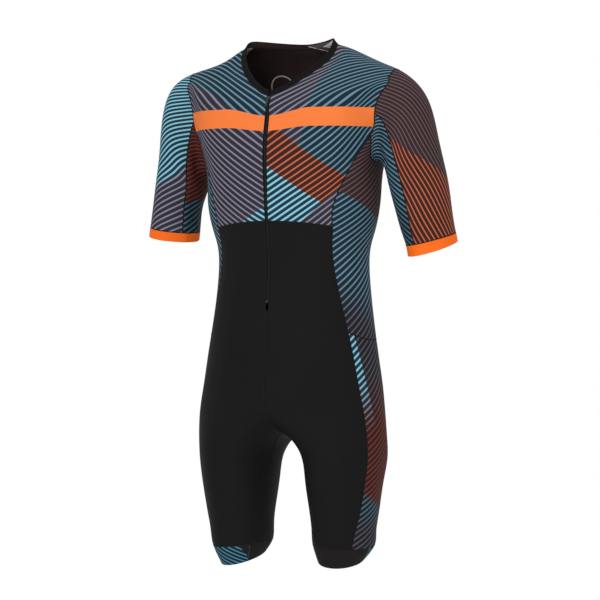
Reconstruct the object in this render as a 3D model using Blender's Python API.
"""Triathlon suit with short sleeves, short legs and a front zip, worn, as an empty hollow form.

Metres, +Z up. The suit faces -Y and the wearer's left is +X. The origin is midway between the
tops of the two shoulders, where the wearer carries the suit.

The cloth is one smooth surface. A cage of four-sided faces passes through section points: rings
round the torso, rows that stop at the armholes, and rings round the sleeves and the legs. Each
cut panel is a block of the cage's faces, given the cloth's thickness and held back from its seams.
"""
import bpy
import numpy as np

# ---------------------------------------------------------------- driving dimensions
CLOTH = 0.0015            # wall of every panel, inwards from the surface
SEAM_GAP = 0.0003         # between two panels at a seam
ZIP_GAP = 0.0048          # between the two front edges along the zip
BINDING_PROUD = 0.0007    # the folded neck binding stands out from the cloth
CUFF_PROUD = 0.0003       # the cuff band stands out from the sleeve

# Columns of the cage, counted round half of the body from the centre front
FRONT_SEAM, BACK_SEAM, CENTRE_BACK = 3, 6, 9

# Rings round the torso: sizes in metres, seams in degrees from the centre front
RING_COLUMNS = ("centre_x", "half_width", "front_y", "side_y", "back_y",
                "front_z", "side_z", "back_z", "squareness", "front_seam", "back_seam")
TORSO_RINGS = {
    "neck_edge":  (-0.003, 0.083, -0.092, -0.014, 0.056, -0.073, 0.0208, 0.0175, 1.5, 70, 112),
    "neck_seam":  (-0.003, 0.0905, -0.096, -0.014, 0.062, -0.0825, 0.0130, 0.0095, 1.5, 70, 112),
    "neck_slope": (-0.003, 0.104, -0.100, -0.013, 0.071, -0.090, 0.0078, -0.002, 1.7, 68, 113),
    "yoke":       (-0.002, 0.135, -0.106, -0.010, 0.086, -0.104, -0.0065, -0.025, 2.0, 64, 116),
    "ribs":       (0.000, 0.157, -0.117,  0.000, 0.106, -0.262, -0.252, -0.262, 2.2, 47, 128),
    "under_bust": (0.000, 0.145, -0.113,  0.000, 0.100, -0.300, -0.318, -0.318, 2.2, 47, 128),
    "waist":      (0.000, 0.136, -0.105,  0.000, 0.092, -0.370, -0.378, -0.375, 2.2, 50, 130),
    "high_hip":   (-0.002, 0.149, -0.109, 0.000, 0.108, -0.455, -0.503, -0.500, 2.2, 60, 132),
    "hip":        (-0.005, 0.160, -0.112, 0.003, 0.128, -0.560, -0.580, -0.570, 2.2, 66, 132),
    "split":      (-0.007, 0.169, -0.104, 0.003, 0.122, -0.633, -0.633, -0.636, 2.2, 68, 132),
}

# The neckline and the yoke drop from side to front in a round U: share of the drop at each column
U_ROWS = ("neck_edge", "neck_seam", "neck_slope", "yoke")
U_DROP = (1.00, 0.90, 0.64, 0.35, 0.12, 0.00)

# Rows that run from the centre front to the armhole, and from the armhole to the centre back
ARM_ROW_COLUMNS = ("front_y", "front_z", "back_y", "back_z")
ARM_ROWS = {
    "shoulder": (-0.112, -0.124, 0.100, -0.075),
    "arm_high": (-0.118, -0.152, 0.108, -0.115),
    "arm_low":  (-0.121, -0.183, 0.112, -0.155),
    "underarm": (-0.120, -0.220, 0.111, -0.212),
}
TORSO_ROWS = ("neck_edge", "neck_seam", "neck_slope", "yoke", "shoulder", "arm_high", "arm_low",
              "underarm", "ribs", "under_bust", "waist", "high_hip", "hip", "split")

# The armhole is an ellipse that leans: its top stands further out than its bottom
ARMHOLE_COLUMNS = ("centre_x", "lean", "centre_y", "centre_z", "half_height", "half_depth")
ARMHOLES = {
    "left":  (0.173, 0.021, 0.005, -0.117, 0.081, 0.052),
    "right": (0.174, 0.022, 0.005, -0.121, 0.0905, 0.052),
}
# Degrees round the armhole, from its top over the front, of the twelve cage points
ARMHOLE_ANGLES = (15, 38, 64, 90, 117, 155, 205, 243, 270, 296, 322, 345)
# The two armhole points at which each arm row ends: front, back
ROW_ENDS = {"shoulder": (1, 10), "arm_high": (2, 9), "arm_low": (3, 8), "underarm": (4, 7)}

# Rings down the sleeve; the under seams lie this many degrees from the outer line
SLEEVE_COLUMNS = ("outer_x", "outer_z", "inner_x", "inner_z", "centre_y", "half_depth", "front_dip", "seam")
SLEEVE_RINGS = {
    "left": (
        (0.243, -0.084, 0.173, -0.207, 0.007, 0.058, 0.000, 102),
        (0.263, -0.155, 0.181, -0.238, 0.009, 0.058, 0.000, 102),
        (0.279, -0.225, 0.192, -0.282, 0.012, 0.055, 0.001, 102),
        (0.287, -0.283, 0.202, -0.316, 0.014, 0.053, 0.004, 104),
        (0.293, -0.322, 0.210, -0.338, 0.016, 0.051, 0.009, 105),
        (0.296, -0.338, 0.213, -0.355, 0.017, 0.050, 0.012, 105),
    ),
    "right": (
        (0.246, -0.069, 0.175, -0.217, 0.007, 0.058, 0.000, 124),
        (0.262, -0.155, 0.183, -0.245, 0.009, 0.056, 0.000, 132),
        (0.272, -0.215, 0.194, -0.270, 0.012, 0.052, 0.000, 137),
        (0.281, -0.266, 0.198, -0.296, 0.014, 0.049, 0.002, 137),
        (0.288, -0.302, 0.200, -0.315, 0.016, 0.047, 0.004, 137),
        (0.291, -0.318, 0.202, -0.331, 0.017, 0.046, 0.005, 137),
    ),
}

# Rings down the leg, from the crotch to the hem
LEG_COLUMNS = ("centre_x", "centre_y", "half_width", "half_depth", "outer_z", "inner_z",
               "front_dip", "front_seam", "back_seam")
LEG_RINGS = {
    "left": (
        (0.093, 0.000, 0.073, 0.098, -0.696, -0.692, 0.000, 64, 135),
        (0.097, -0.003, 0.064, 0.086, -0.750, -0.744, 0.000, 62, 135),
        (0.098, -0.006, 0.058, 0.074, -0.800, -0.795, 0.000, 56, 135),
        (0.098, -0.007, 0.054, 0.067, -0.836, -0.830, 0.002, 48, 135),
        (0.098, -0.008, 0.052, 0.063, -0.862, -0.855, 0.004, 42, 135),
        (0.093, -0.008, 0.038, 0.049, -0.889, -0.882, 0.011, 42, 135),
    ),
    "right": (
        (0.099, 0.000, 0.073, 0.098, -0.696, -0.692, 0.000, 64, 135),
        (0.102, -0.003, 0.064, 0.086, -0.750, -0.744, 0.000, 62, 135),
        (0.100, -0.006, 0.057, 0.074, -0.801, -0.796, 0.000, 56, 135),
        (0.098, -0.007, 0.053, 0.067, -0.837, -0.831, 0.002, 48, 135),
        (0.096, -0.008, 0.050, 0.063, -0.864, -0.857, 0.004, 42, 135),
        (0.095, -0.008, 0.036, 0.049, -0.892, -0.882, 0.011, 42, 135),
    ),
}
CROTCH_X = -0.001
CROTCH_FRONT = (-0.040, -0.668)    # y, z
CROTCH_BACK = (0.045, -0.669)
LEG_ROWS = ("crotch", "thigh", "mid_thigh", "low_thigh", "above_band", "band")
SLEEVE_ROWS = ("armhole", "cap", "upper_arm", "lower_arm", "above_cuff", "cuff")

# Each face of the cage is split into FINE x FINE steps; a panel keeps the steps in its cuts
LEVELS = 3
FINE = 2 ** LEVELS
CUTS = (0, 4, 8)
BAND_CUTS = (0, 8)
ZIP_END_CUTS = (0, 4, 7, 8)
CLOSE_CUTS = (0, 2, 4, 6, 8)

# Folds of the cloth: a soft trough from start to end, or a ridge where the depth is negative
FOLD_COLUMNS = ("x1", "y1", "z1", "x2", "y2", "z2", "half_width", "depth")
FOLDS = (
    # left armpit, front: two creases from the chest into the sleeve, a ridge between, one to the bust
    (0.157, -0.052, -0.151, 0.207, -0.050, -0.179, 0.007, 0.0036),
    (0.158, -0.036, -0.173, 0.195, -0.040, -0.203, 0.007, 0.0030),
    (0.160, -0.042, -0.162, 0.203, -0.046, -0.190, 0.006, -0.0014),
    (0.153, -0.047, -0.180, 0.114, -0.087, -0.224, 0.013, 0.0020),
    # left armpit, back
    (0.162, 0.057, -0.143, 0.204, 0.065, -0.170, 0.008, 0.0032),
    (0.160, 0.044, -0.171, 0.188, 0.054, -0.206, 0.007, 0.0026),
    (0.149, 0.057, -0.187, 0.104, 0.090, -0.216, 0.013, 0.0022),
    # right armpit, front
    (-0.151, -0.070, -0.139, -0.188, -0.040, -0.170, 0.007, 0.0032),
    (-0.159, -0.048, -0.160, -0.181, -0.018, -0.214, 0.007, 0.0026),
    (-0.151, -0.053, -0.184, -0.113, -0.087, -0.227, 0.013, 0.0018),
    # right armpit, back
    (-0.161, 0.060, -0.146, -0.201, 0.061, -0.180, 0.008, 0.0034),
    (-0.162, 0.046, -0.176, -0.186, 0.047, -0.214, 0.007, 0.0024),
    (-0.145, 0.063, -0.194, -0.098, 0.092, -0.221, 0.013, 0.0020),
    # small of the back
    (-0.080, 0.078, -0.352, 0.030, 0.092, -0.366, 0.012, 0.0016),
    (-0.024, 0.093, -0.392, 0.082, 0.080, -0.378, 0.013, 0.0014),
    # below the seat
    (0.058, 0.088, -0.688, 0.130, 0.076, -0.729, 0.012, 0.0020),
    (-0.064, 0.088, -0.690, -0.139, 0.073, -0.724, 0.012, 0.0018),
)
FOLD_REACH = 0.020        # a fold takes in only cloth this near to its line, along the normal

# Zip: heights are from the outer surface of the cloth, outwards
TAPE_WIDTH = 0.013
TAPE_THICKNESS = 0.0010
TAPE_START = 0.15         # share of the neck binding's depth that the tape stays below its edge
BEAD_HALF_WIDTH = 0.0019
BEAD_TOP = -0.0006
STOP_SIZE = (0.0042, 0.0036, 0.0012)   # width, length, height
SLIDER_TOP = 0.0035       # below the neck seam, along the zip
SLIDER_SEAT = 0.0006      # the slider's plate clears the front edges by this much
SLIDER_FOOT = 0.0001      # its neck ends just above the beads
SLIDER_PLATE = 0.0012
SLIDER_SECTIONS = (       # distance down, half width, ear height
    (0.0000, 0.0030, 0.0001), (0.0012, 0.0038, 0.0006), (0.0026, 0.0040, 0.0024),
    (0.0050, 0.0039, 0.0024), (0.0072, 0.0034, 0.0008), (0.0100, 0.0028, 0.0001),
)
EAR_INNER, EAR_OUTER = 0.0023, 0.0032
TAB_PIVOT_DOWN = 0.0038   # below the slider's top
TAB_PIVOT_HEIGHT = 0.0031
TAB_RADIUS = 0.0009
TAB_HALF_WIDTH = 0.0020
TAB_THICKNESS = 0.0011
TAB_LENGTH = 0.0170

# Colours (linear), roughness
FINISHES = {
    "chest": ((0.035, 0.085, 0.110), 0.62), "front": ((0.013, 0.013, 0.014), 0.55),
    "side": ((0.040, 0.100, 0.130), 0.62), "leg_side": ((0.090, 0.035, 0.030), 0.62),
    "back": ((0.011, 0.010, 0.010), 0.70), "seat": ((0.012, 0.012, 0.013), 0.55),
    "sleeve_outer": ((0.060, 0.110, 0.140), 0.62), "sleeve_under": ((0.030, 0.070, 0.090), 0.62),
    "cuff": ((0.900, 0.140, 0.015), 0.60), "leg_band": ((0.022, 0.018, 0.019), 0.65),
    "neck_binding": ((0.010, 0.010, 0.011), 0.65), "zip_tape": ((0.008, 0.008, 0.009), 0.75),
    "zip_stop": ((0.020, 0.020, 0.022), 0.40), "zip_slider": ((0.020, 0.020, 0.022), 0.35),
    "zip_pull_tab": ((0.050, 0.050, 0.055), 0.40),
}


def named(columns, row):
    """One row of a table as a dictionary."""
    return dict(zip(columns, row))


# ---------------------------------------------------------------- section points
def torso_ring(name):
    """Half a ring, centre front to centre back: a superellipse whose height goes with the squared
    cosine of the angle, or in the front of the top rows with the drop of the neckline's U."""
    r = named(RING_COLUMNS, TORSO_RINGS[name])
    angle = np.radians(np.interp(np.arange(CENTRE_BACK + 1), (0, FRONT_SEAM, BACK_SEAM, CENTRE_BACK),
                                 (0, r["front_seam"], r["back_seam"], 180)))
    s, c = np.sin(angle), np.cos(angle)
    power = 2 / r["squareness"]
    end_y = np.where(c > 0, r["front_y"], r["back_y"])
    end_z = np.where(c > 0, r["front_z"], r["back_z"])
    x = r["half_width"] * np.abs(s) ** power
    y = r["side_y"] + (end_y - r["side_y"]) * np.abs(c) ** power
    share = c * c
    if name in U_ROWS:
        share[:len(U_DROP)] = U_DROP
        end_z[:len(U_DROP)] = r["front_z"]
    z = r["side_z"] + (end_z - r["side_z"]) * share
    x[0] = x[-1] = 0
    return r["centre_x"], np.stack([x, y, z], 1)


def armhole_points(side):
    """The armhole's twelve points, for a sleeve on +X."""
    a = named(ARMHOLE_COLUMNS, ARMHOLES[side])
    angle = np.radians(ARMHOLE_ANGLES)
    return np.stack([a["centre_x"] + a["lean"] * np.cos(angle),
                     a["centre_y"] - a["half_depth"] * np.sin(angle),
                     a["centre_z"] + a["half_height"] * np.cos(angle)], 1)


def arm_row_half(centre_y, centre_z, end):
    """Four points from the body's centre line to the armhole: a quadratic arc that leaves the
    centre line straight across and bends back to the armhole."""
    t = np.linspace(0, 1, FRONT_SEAM + 1)[:, None]
    start = np.array([0, centre_y, centre_z])
    knee = np.array([end[0] * 0.75, centre_y, end[2] * 0.6 + centre_z * 0.4])
    return (1 - t) ** 2 * start + 2 * t * (1 - t) * knee + t ** 2 * end


def torso_points(side):
    """Rows of ten points each, for the half on +X; points inside the armhole are left out as NaN."""
    loop = armhole_points(side)
    rows = []
    for name in TORSO_ROWS:
        if name in TORSO_RINGS:
            centre_x, row = torso_ring(name)
            rows.append(row + [centre_x if side == "left" else -centre_x, 0, 0])
            continue
        a = named(ARM_ROW_COLUMNS, ARM_ROWS[name])
        front_end, back_end = ROW_ENDS[name]
        row = np.full((CENTRE_BACK + 1, 3), np.nan)
        row[:FRONT_SEAM + 1] = arm_row_half(a["front_y"], a["front_z"], loop[front_end])
        row[BACK_SEAM:] = arm_row_half(a["back_y"], a["back_z"], loop[back_end])[::-1]
        if name == "shoulder":
            row[4], row[5] = loop[0], loop[11]
        if name == "underarm":
            row[4], row[5] = loop[5], loop[6]
        rows.append(row)
    return np.array(rows)


def sleeve_points(side):
    """Twelve points on each ring: an ellipse between the outer and the inner point of the arm."""
    rings = []
    for row in SLEEVE_RINGS[side]:
        r = named(SLEEVE_COLUMNS, row)
        angle = np.radians(np.interp(np.arange(12), (0, 3, 8, 11), (15, r["seam"], 360 - r["seam"], 345)))
        outer = np.array([r["outer_x"], r["centre_y"], r["outer_z"]])
        inner = np.array([r["inner_x"], r["centre_y"], r["inner_z"]])
        forward = np.array([0, -r["half_depth"], -r["front_dip"]])
        rings.append((outer + inner) / 2 + np.outer(np.cos(angle), (outer - inner) / 2)
                     + np.outer(np.sin(angle), forward))
    return rings


def leg_points(side):
    """Twelve points on each ring, centre front first, over the outer side to the back and the inseam."""
    rings = []
    for row in LEG_RINGS[side]:
        r = named(LEG_COLUMNS, row)
        degrees = np.interp(np.arange(13), (0, 3, 6, 9, 12), (-45, r["front_seam"], r["back_seam"], 225, 315))
        s, c = np.sin(np.radians(degrees[:12])), np.cos(np.radians(degrees[:12]))
        middle_z, half_z = (r["outer_z"] + r["inner_z"]) / 2, (r["outer_z"] - r["inner_z"]) / 2
        rings.append(np.stack([r["centre_x"] + r["half_width"] * s, r["centre_y"] - r["half_depth"] * c,
                               middle_z + half_z * s - r["front_dip"] * c], 1))
    return rings


# ---------------------------------------------------------------- cage
def build_cage():
    """Section points, and faces as (corners, (part, side, row, column)). A face's first two corners
    run down the garment, and its corners run anticlockwise seen from outside."""
    points, faces = [], []
    half = {side: torso_points(side) for side in ("left", "right")}
    ids = {side: np.full(half[side].shape[:2], -1) for side in half}

    def add(point, side="left"):
        points.append(point if side == "left" else point * [-1, 1, 1])
        return len(points) - 1

    for i in range(len(TORSO_ROWS)):
        for j in range(CENTRE_BACK + 1):
            if not np.isnan(half["left"][i, j, 0]):
                ids["left"][i, j] = add(half["left"][i, j])
                centre = j in (0, CENTRE_BACK)
                ids["right"][i, j] = ids["left"][i, j] if centre else add(half["right"][i, j], "right")

    def band(part, side, row, upper, lower, columns, skip=()):
        for j in range(columns):
            if j in skip:
                continue
            k = (j + 1) % len(upper)
            corners = [upper[j], lower[j], lower[k], upper[k]]
            if (side == "right") != (part == "sleeve"):
                corners = [upper[k], lower[k], lower[j], upper[j]]
            faces.append((corners, (part, side, row, j)))

    row_at = {name: i for i, name in enumerate(TORSO_ROWS)}
    for side in ("left", "right"):
        grid = ids[side]
        for i, name in enumerate(TORSO_ROWS[:-1]):
            open_columns = range(FRONT_SEAM, BACK_SEAM) if name in ("shoulder", "arm_high", "arm_low") else ()
            band("torso", side, name, grid[i], grid[i + 1], CENTRE_BACK, open_columns)
        top, high, low, under = (grid[row_at[name]] for name in ROW_ENDS)
        loop = [top[4], top[3], high[3], low[3], under[3], under[4],
                under[5], under[6], low[6], high[6], top[6], top[5]]
        rings = [loop] + [[add(p, side) for p in ring] for ring in sleeve_points(side)]
        for name, upper, lower in zip(SLEEVE_ROWS, rings, rings[1:]):
            band("sleeve", side, name, upper, lower, 12)

    crotch_back = add(np.array([CROTCH_X, *CROTCH_BACK]))
    crotch_front = add(np.array([CROTCH_X, *CROTCH_FRONT]))
    for side in ("left", "right"):
        top = list(ids[side][row_at["split"]]) + [crotch_back, crotch_front]
        rings = [top] + [[add(p, side) for p in ring] for ring in leg_points(side)]
        for name, upper, lower in zip(LEG_ROWS, rings, rings[1:]):
            band("leg", side, name, upper, lower, 12)
    return np.array(points), faces


def panel_of(part, side, row, column):
    """Name of the cut piece that a cage face belongs to."""
    if part == "sleeve":
        if row == "cuff":
            return "cuff_" + side
        return ("sleeve_under_" if 3 <= column < 8 else "sleeve_outer_") + side
    if part == "leg" and row == "band":
        return "leg_band_" + side
    lower_body = part == "leg" or row in ("high_hip", "hip")
    if part == "torso" and row == "neck_edge":
        return "neck_binding"
    if BACK_SEAM <= column < 11:
        return "seat_" + side if lower_body else "back"
    if FRONT_SEAM <= column < BACK_SEAM and row not in U_ROWS:
        return ("leg_side_" if lower_body else "side_") + side
    return ("front_" if lower_body or row in ("under_bust", "waist") else "chest_") + side


# ---------------------------------------------------------------- smooth surface through the cage
def edges_of(quads):
    """Unique edges, the edge number of each side of each quad, and how many quads meet each edge."""
    sides = np.stack([quads, np.roll(quads, -1, axis=1)], -1)
    edges, number, count = np.unique(np.sort(sides.reshape(-1, 2), 1), axis=0,
                                     return_inverse=True, return_counts=True)
    return edges, number.reshape(-1, 4), count


def small_quads(grid):
    """All quads of a stack of square grids of point numbers, anticlockwise from outside."""
    return np.stack([grid[:, :-1, :-1], grid[:, 1:, :-1], grid[:, 1:, 1:], grid[:, :-1, 1:]], -1).reshape(-1, 4)


def neighbour_sums(count_points, quads, points):
    """For each point: how many quads meet it, the sum of its edge neighbours, the sum of the
    corners opposite it in its quads, and the same edge sum along a free rim alone."""
    edges, number, count = edges_of(quads)
    valence = np.bincount(quads.ravel(), minlength=count_points).astype(float)
    along, opposite, rim = np.zeros((3, count_points, 3))
    for a, b in ((0, 1), (1, 0)):
        np.add.at(along, edges[:, a], points[edges[:, b]])
        np.add.at(rim, edges[count == 1][:, a], points[edges[count == 1][:, b]])
    for k in range(4):
        np.add.at(opposite, quads[:, k], points[quads[:, (k + 2) % 4]])
    on_rim = np.zeros(count_points, bool)
    on_rim[edges[count == 1].ravel()] = True
    return valence, along, opposite, rim, on_rim


def limit_points(points, quads):
    """Where Catmull-Clark subdivision carries each point: n^2 of itself, 4 of each edge neighbour
    and 1 of each opposite corner, over n(n + 5); on a rim 4 of itself and 1 of each rim neighbour."""
    n, along, opposite, rim, on_rim = neighbour_sums(len(points), quads, points)
    inside = (n[:, None] ** 2 * points + 4 * along + opposite) / (n * (n + 5))[:, None]
    return np.where(on_rim[:, None], (4 * points + rim) / 6, inside)


def cage_through(targets, quads):
    """The cage whose smooth surface passes through the targets, by repeated correction."""
    cage = targets.copy()
    for _ in range(60):
        cage += targets - limit_points(cage, quads)
    return cage


def refine(points, grid):
    """One Catmull-Clark step on grids of point numbers, one square grid for each cage face."""
    quads = small_quads(grid)
    edges, number, count = edges_of(quads)
    face_points = points[quads].mean(1)
    middles = points[edges].mean(1)
    face_sum = np.zeros_like(middles)
    np.add.at(face_sum, number.ravel(), np.repeat(face_points, 4, 0))
    edge_points = np.where((count == 2)[:, None], middles / 2 + face_sum / 4, middles)
    n, along, opposite, rim, on_rim = neighbour_sums(len(points), quads, points)
    around = np.zeros_like(points)
    np.add.at(around, quads.ravel(), np.repeat(face_points, 4, 0))
    n = n[:, None]
    moved = around / n ** 2 + (points + along / n) / n + (n - 3) / n * points
    moved = np.where(on_rim[:, None], (6 * points + rim) / 8, moved)
    size = grid.shape[1] - 1
    side = number.reshape(len(grid), size, size, 4) + len(points)
    finer = np.zeros((len(grid), 2 * size + 1, 2 * size + 1), int)
    finer[:, ::2, ::2] = grid
    centre = len(points) + len(edges) + np.arange(len(quads))
    finer[:, 1::2, 1::2] = centre.reshape(len(grid), size, size)
    finer[:, 1::2, :-1:2] = side[..., 0]
    finer[:, 2::2, 1::2] = side[..., 1]
    finer[:, 1::2, 2::2] = side[..., 2]
    finer[:, :-1:2, 1::2] = side[..., 3]
    return np.concatenate([moved, edge_points, face_points]), finer


def point_normals(points, quads):
    """Outward normals: the sum of the area normals of the quads round each point."""
    p = points[quads]
    area = np.cross(p[:, 2] - p[:, 0], p[:, 3] - p[:, 1])
    total = np.zeros_like(points)
    np.add.at(total, quads.ravel(), np.repeat(area, 4, 0))
    return total / np.linalg.norm(total, axis=1, keepdims=True)


def fold_height(points, normals):
    """Sum of the folds: each falls off as a bell across its line and fades at its two ends."""
    height = np.zeros(len(points))
    for row in FOLDS:
        f = named(FOLD_COLUMNS, row)
        start, end = np.array([f["x1"], f["y1"], f["z1"]]), np.array([f["x2"], f["y2"], f["z2"]])
        line = end - start
        t = np.clip((points - start) @ line / (line @ line), 0, 1)
        offset = points - start - t[:, None] * line
        above = np.einsum("ij,ij->i", offset, normals)
        across = np.linalg.norm(offset - above[:, None] * normals, axis=1)
        bell = np.exp(-(across / f["half_width"]) ** 2 - (above / FOLD_REACH) ** 4)
        height -= f["depth"] * bell * (1 - (2 * t - 1) ** 4)
    return height


def cloth_surface():
    """Fine points, their normals, the grids of point numbers, and each face's place."""
    targets, faces = build_cage()
    corners = np.array([face[0] for face in faces])
    grid = np.stack([corners[:, [0, 3]], corners[:, [1, 2]]], 1)
    points = cage_through(targets, corners)
    for _ in range(LEVELS):
        points, grid = refine(points, grid)
    quads = small_quads(grid)
    points = limit_points(points, quads)
    normals = point_normals(points, quads)
    points = points + normals * fold_height(points, normals)[:, None]
    return points, point_normals(points, quads), grid, [face[1] for face in faces]


# ---------------------------------------------------------------- panels
def face_cuts(place, close):
    """The steps kept down and round one cage face."""
    part, side, row, column = place
    down = CUTS
    if row == "waist":
        down = ZIP_END_CUTS
    elif row in ("neck_edge", "cuff"):
        down = BAND_CUTS
    elif close and row in ("armhole", "cap"):
        down = CLOSE_CUTS
    return np.array(down), np.array(CLOSE_CUTS if close else CUTS)


def panel_quads(surface, name, close=False):
    """Quads of one panel, as point numbers of the fine surface. On the right half, numbers on the
    centre front get an offset, so that a piece that meets itself at the zip stays open there."""
    points, normals, grid, places = surface
    zip_line = zip_numbers(surface)
    quads = []
    for face, place in zip(grid, places):
        if panel_of(*place) != name:
            continue
        down, around = face_cuts(place, close)
        picked = small_quads(face[np.ix_(down, around)][None])
        if place[1] == "right":
            picked = picked + len(points) * np.isin(picked, zip_line)
        quads.append(picked)
    return np.concatenate(quads)


def centre_lines(surface, side, rows):
    """For each station down the centre front: nine point numbers, from the zip outwards."""
    points, normals, grid, places = surface
    lines = []
    for row in rows:
        face = grid[places.index(("torso", side, row, 0))]
        face = face if side == "left" else face[:, ::-1]
        lines.extend(face[0 if not lines else 1:])
    return np.array(lines)


ZIP_ROWS = TORSO_ROWS[:TORSO_ROWS.index("high_hip")]


def zip_numbers(surface):
    """Point numbers on the centre front that the zip opens."""
    return centre_lines(surface, "left", ZIP_ROWS)[:, 0]


def rim_edges(quads):
    """Free edges of a set of quads, in the quads' own direction."""
    sides = np.stack([quads, np.roll(quads, -1, axis=1)], -1).reshape(-1, 2)
    keys, index, count = np.unique(np.sort(sides, 1), axis=0, return_index=True, return_counts=True)
    return sides[index[count == 1]]


def seam_offsets(surface, quads):
    """How far each rim point moves along the cloth, so that every rim edge keeps its own distance
    from the seam line."""
    points, normals, grid, places = surface
    total = len(points)
    zip_line = set(zip_numbers(surface))
    open_rim = set(rim_edges(small_quads(grid)).ravel())
    offsets, seen = {}, {}
    for a, b in rim_edges(quads):
        pair = (a % total, b % total)
        along = points[pair[1]] - points[pair[0]]
        distance = SEAM_GAP / 2
        if pair[0] in open_rim and pair[1] in open_rim:
            distance = 0
        elif pair[0] in zip_line and pair[1] in zip_line:
            distance = ZIP_GAP / 2
        for number in (a, b):
            inward = np.cross(normals[number % total], along)
            seen.setdefault(number, []).append((inward / np.linalg.norm(inward), distance))
    for number, ((n1, d1), (n2, d2)) in seen.items():
        cosine = n1 @ n2
        if cosine > 0.9:
            offsets[number] = (n1 + n2) / np.linalg.norm(n1 + n2) * min(d1, d2)
        else:
            weights = np.linalg.solve([[1, cosine], [cosine, 1]], [d1, d2])
            offsets[number] = weights[0] * n1 + weights[1] * n2
    return offsets


def straighten_rim(quads, coarse, layers):
    """Puts each rim point that the neighbouring panel lacks midway between its two rim neighbours.
    Gives the point that lies inside each straightened edge."""
    before = {b: a for a, b in rim_edges(quads)}
    after = {a: b for a, b in rim_edges(quads)}
    middles = {}
    for number in before:
        if number not in coarse:
            pair = before[number], after[number]
            middles[pair] = [number]
            for layer in layers:
                layer[number] = (layer[pair[0]] + layer[pair[1]]) / 2
    return middles


def rim_triangles(chain, count, forward):
    """The wall along one rim edge, from its outer to its inner points. Both panels at a seam use
    the same diagonal, so that their walls stay parallel where the cloth twists."""
    inner = [n + count for n in chain]
    outer_hub, inner_hub = (inner[-1], chain[0]) if forward else (inner[0], chain[-1])
    faces = [[b, a, outer_hub] for a, b in zip(chain, chain[1:])]
    return faces + [[inner_hub, a, b] for a, b in zip(inner, inner[1:])]


def panel_wall(surface, name, proud=0.0, close=False):
    """Vertices and faces of one panel: an outer sheet, an inner sheet and the edges between them."""
    points, normals, grid, places = surface
    total = len(points)
    quads = panel_quads(surface, name, close)
    offsets = seam_offsets(surface, panel_quads(surface, name))
    numbers = np.unique(quads)
    outer, inner = {}, {}
    for number in numbers:
        base = points[number % total] + offsets.get(number, 0)
        outer[number] = base + normals[number % total] * proud
        inner[number] = base - normals[number % total] * CLOTH
    middles = {}
    if close:
        middles = straighten_rim(quads, set(panel_quads(surface, name).ravel()), (outer, inner))
    place = {number: i for i, number in enumerate(numbers)}
    count = len(numbers)
    top = [[place[n] for n in quad] for quad in quads]
    bottom = [[place[n] + count for n in reversed(quad)] for quad in quads]
    edge = []
    for a, b in rim_edges(panel_quads(surface, name)):
        chain = [place[n] for n in (a, *middles.get((a, b), ()), b)]
        edge += rim_triangles(chain, count, a % total < b % total)
    vertices = np.array([outer[n] for n in numbers] + [inner[n] for n in numbers])
    return vertices, top + bottom + edge


# ---------------------------------------------------------------- zip
def volume(vertices, faces):
    """Signed volume: a sixth of the triple product of each triangle of each face's fan."""
    middle = vertices.mean(0)
    total = 0.0
    for face in faces:
        fan = vertices[list(face)] - middle
        total += np.einsum("ij,ij->", np.cross(fan[0], fan[1:-1]), fan[2:])
    return total / 6


def loft(sections):
    """Vertices and faces of a solid through a row of closed sections, with flat ends, facing out."""
    sections = np.array(sections)
    rows, around = sections.shape[:2]
    faces = []
    for i in range(rows - 1):
        for j in range(around):
            k = (j + 1) % around
            faces.append([i * around + j, i * around + k, (i + 1) * around + k, (i + 1) * around + j])
    faces.append(list(range(around))[::-1])
    faces.append([(rows - 1) * around + j for j in range(around)])
    vertices = sections.reshape(-1, 3)
    return vertices, faces if volume(vertices, faces) > 0 else [face[::-1] for face in faces]


def zip_tape(surface, side):
    """One zip tape: a flange behind the front edge, and a bead that shows between the two edges."""
    points, normals, grid, places = surface
    lines = centre_lines(surface, side, ZIP_ROWS)[:, list(CUTS)]
    last_row = len(lines) - 1 - FINE
    steps = [0] + list(range(FINE, last_row, FINE // 2)) + [last_row + n for n in ZIP_END_CUTS[:-1]]
    back, face = -CLOTH - SEAM_GAP - TAPE_THICKNESS, -CLOTH - SEAM_GAP
    profile = ((SEAM_GAP / 2, back), (TAPE_WIDTH, back), (TAPE_WIDTH, face), (BEAD_HALF_WIDTH, face),
               (BEAD_HALF_WIDTH, BEAD_TOP), (SEAM_GAP / 2, BEAD_TOP))
    sections = []
    for step in steps:
        line = points[lines[step]]
        length = np.concatenate([[0], np.cumsum(np.linalg.norm(np.diff(line, axis=0), axis=1))])
        section = []
        for across, height in profile:
            spot = np.array([np.interp(across, length, line[:, k]) for k in range(3)])
            normal = np.array([np.interp(across, length, normals[lines[step]][:, k]) for k in range(3)])
            section.append(spot + normal * height)
        sections.append(np.array(section))
    sections[0] = sections[0] + (sections[1] - sections[0]) * TAPE_START
    return loft(sections)


def zip_frame(surface, row, down):
    """Origin and axes of a place on the zip: the point this far below a row, across, down, out."""
    points, normals, grid, places = surface
    line = centre_lines(surface, "left", ZIP_ROWS)[:, 0]
    first = TORSO_ROWS.index(row) * FINE
    length = np.concatenate([[0], np.cumsum(np.linalg.norm(np.diff(points[line], axis=0), axis=1))])
    goal = length[first] + down
    origin = np.array([np.interp(goal, length, points[line][:, k]) for k in range(3)])
    ahead = np.array([np.interp(goal + 0.010, length, points[line][:, k]) for k in range(3)])
    across = np.array([1.0, 0, 0])
    along = (ahead - origin) * [0, 1, 1]
    along /= np.linalg.norm(along)
    return origin, across, along, np.cross(along, across)


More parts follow.
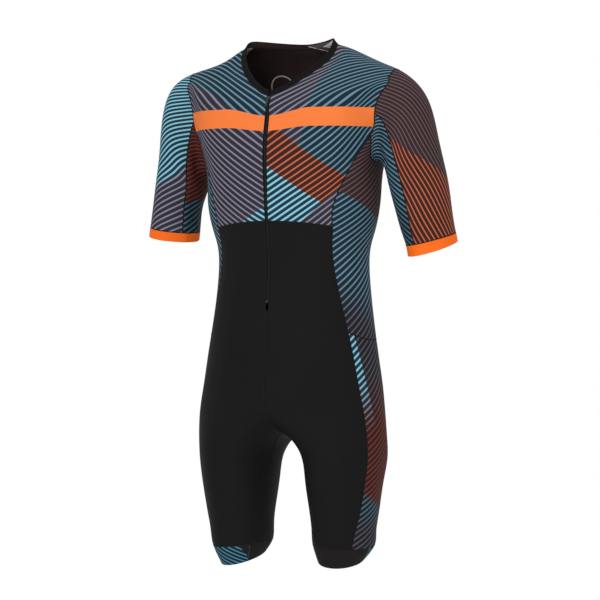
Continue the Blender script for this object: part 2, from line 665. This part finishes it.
def zip_slider(frame):
    """A plate that tapers down, a neck into the gap between the edges, and two ears for the tab."""
    origin, across, down, out = frame
    neck = BEAD_HALF_WIDTH - SEAM_GAP
    foot, seat, plate = -SLIDER_FOOT, SLIDER_SEAT, SLIDER_SEAT + SLIDER_PLATE
    sections = []
    for t, half, ear in SLIDER_SECTIONS:
        outer = min(EAR_OUTER, half - 0.0002)
        inner = min(EAR_INNER, outer - 0.0003)
        right = [(neck, foot), (neck, seat), (half, seat), (half, plate), (outer, plate), (outer, plate + ear),
                 (inner, plate + ear), (inner, plate)]
        ring = right + [(-s, h) for s, h in reversed(right)]
        sections.append([origin + across * s + down * t + out * h for s, h in ring])
    return loft(sections)


def zip_pull_tab(frame):
    """A round hinge end between the ears and a flat tab that hangs from it."""
    origin, across, down, out = frame
    pivot = origin + down * TAB_PIVOT_DOWN + out * TAB_PIVOT_HEIGHT
    half = TAB_THICKNESS / 2
    lift = -TAB_RADIUS + half            # the tab's back lies level with the lowest point of its hinge
    turn = np.linspace(np.radians(60), np.radians(330), 9)
    profile = [(TAB_RADIUS * np.cos(a), TAB_RADIUS * np.sin(a)) for a in turn]
    profile = [(d, h) for d, h in profile if d < TAB_RADIUS * 0.6]
    profile += [(0.0016, lift - half), (TAB_LENGTH - 0.0006, lift - half), (TAB_LENGTH, lift),
                (TAB_LENGTH - 0.0006, lift + half), (0.0016, lift + half)]
    sections = [[pivot + across * s + down * d + out * h for d, h in profile]
                for s in (-TAB_HALF_WIDTH, TAB_HALF_WIDTH)]
    return loft(sections)


def zip_stop(frame):
    """A small block across both beads at the zip's lower end."""
    origin, across, down, out = frame
    width, length, height = STOP_SIZE
    low = BEAD_TOP + SEAM_GAP
    ring = ((-width / 2, low), (width / 2, low), (width / 2, low + height), (-width / 2, low + height))
    return loft([[origin + across * s + down * t + out * h for s, h in ring] for t in (0, length)])


# ---------------------------------------------------------------- objects
def make_material(name):
    """A plain Principled material in the piece's main colour."""
    kind = name.replace("_left", "").replace("_right", "")
    colour, roughness = FINISHES[kind]
    material = bpy.data.materials.new(name)
    material.use_nodes = True
    shader = material.node_tree.nodes["Principled BSDF"]
    shader.inputs["Base Color"].default_value = (*colour, 1)
    shader.inputs["Roughness"].default_value = roughness
    shader.inputs["Metallic"].default_value = 0.0
    return material


def make_object(name, shape, smooth=True):
    """One named object from vertices and faces."""
    vertices, faces = shape
    mesh = bpy.data.meshes.new(name)
    mesh.from_pydata([tuple(v) for v in vertices], [], [[int(i) for i in face] for face in faces])
    mesh.validate()
    mesh.materials.append(make_material(name))
    if smooth:
        mesh.shade_smooth()
        mesh.set_sharp_from_angle(angle=np.radians(50))
    body = bpy.data.objects.new(name, mesh)
    bpy.context.collection.objects.link(body)
    return body


def main():
    """Builds every piece of the suit."""
    for old in list(bpy.data.objects):
        bpy.data.objects.remove(old, do_unlink=True)
    surface = cloth_surface()
    make_object("neck_binding", panel_wall(surface, "neck_binding", proud=BINDING_PROUD))
    make_object("back", panel_wall(surface, "back"))
    for side in ("left", "right"):
        for piece in ("chest", "front", "side", "leg_side", "seat", "sleeve_outer", "leg_band"):
            name = f"{piece}_{side}"
            make_object(name, panel_wall(surface, name))
        make_object(f"sleeve_under_{side}", panel_wall(surface, f"sleeve_under_{side}", close=True))
        make_object(f"cuff_{side}", panel_wall(surface, f"cuff_{side}", proud=CUFF_PROUD))
        make_object(f"zip_tape_{side}", zip_tape(surface, side), smooth=False)
    top = zip_frame(surface, "neck_seam", SLIDER_TOP)
    make_object("zip_slider", zip_slider(top), smooth=False)
    make_object("zip_pull_tab", zip_pull_tab(top), smooth=False)
    make_object("zip_stop", zip_stop(zip_frame(surface, "waist", 0.066)), smooth=False)


main()
